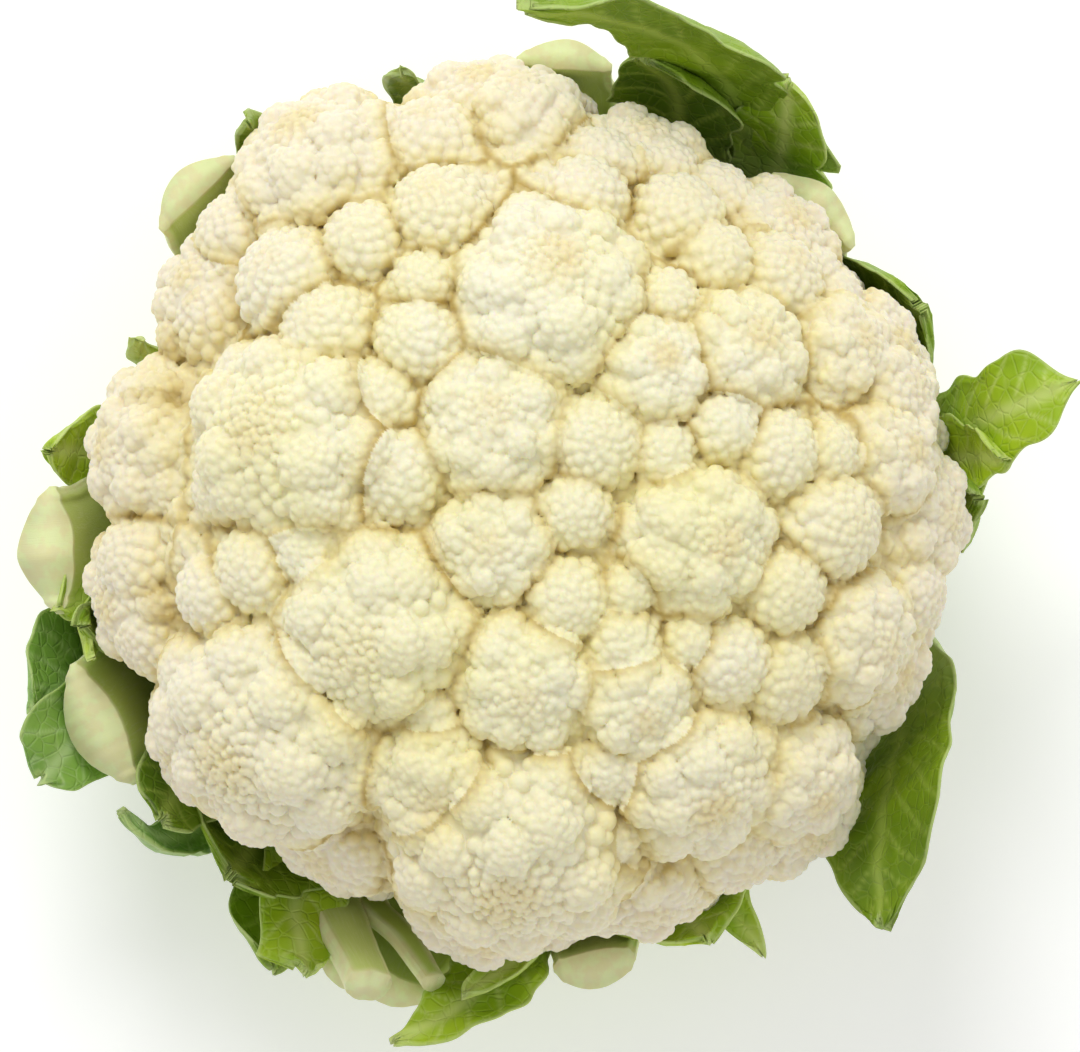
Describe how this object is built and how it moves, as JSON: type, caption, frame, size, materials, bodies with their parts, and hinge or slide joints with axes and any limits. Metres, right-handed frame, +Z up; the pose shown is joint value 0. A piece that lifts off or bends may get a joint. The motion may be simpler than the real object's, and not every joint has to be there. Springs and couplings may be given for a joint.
{
  "type": "cauliflower",
  "caption": "Fresh trimmed head of cauliflower: a cream domed curd of packed florets on a short cut stem, with cut-back green leaves wrapped round its sides.",
  "frame": {"origin": "middle of the head's footprint, on the surface the stem's cut face stands on", "axes": "+Z up along the stem towards the crown of the curd, +X towards the flared leaf, +Y towards the large curled leaf"},
  "size_m": [0.2128, 0.2078, 0.1204],
  "materials": {
    "curd": "matt, finely granular, cream",
    "stem": "satin, pale green, moist cut face",
    "petiole": "satin, pale green, fleshy",
    "leaf_dark": "satin, deep green, veined",
    "leaf_bright": "satin, yellow green, veined",
    "leaf_grey": "waxy, grey green, veined"
  },
  "bodies": {
    "root": {"curd": "curd", "stem": "stem", "leaf_left": "petiole", "leaf_lower_left": "petiole", "leaf_bottom_left": "petiole", "leaf_bottom": "petiole", "leaf_top": "petiole", "leaf_upper_left": "petiole", "leaf_upper_right": "petiole", "leaf_bottom_left_stalk": "petiole", "leaf_right": "leaf_bright", "leaf_lower_right": "leaf_dark", "leaf_top_right": "leaf_dark", "leaf_right_upper": "leaf_dark", "leaf_right_lower": "leaf_dark", "leaf_bottom_right": "leaf_bright", "leaf_bottom_sliver": "leaf_bright", "leaf_bottom_tip": "leaf_bright", "leaf_bottom_left_blade": "leaf_dark", "leaf_left_narrow": "leaf_grey", "leaf_lower_left_blade": "leaf_grey", "leaf_left_leaflet": "leaf_dark", "leaf_left_upper": "leaf_bright", "leaf_left_tip": "leaf_bright", "leaf_upper_left_tip": "leaf_dark", "leaf_top_left": "leaf_dark"}
  },
  "joints": []
}
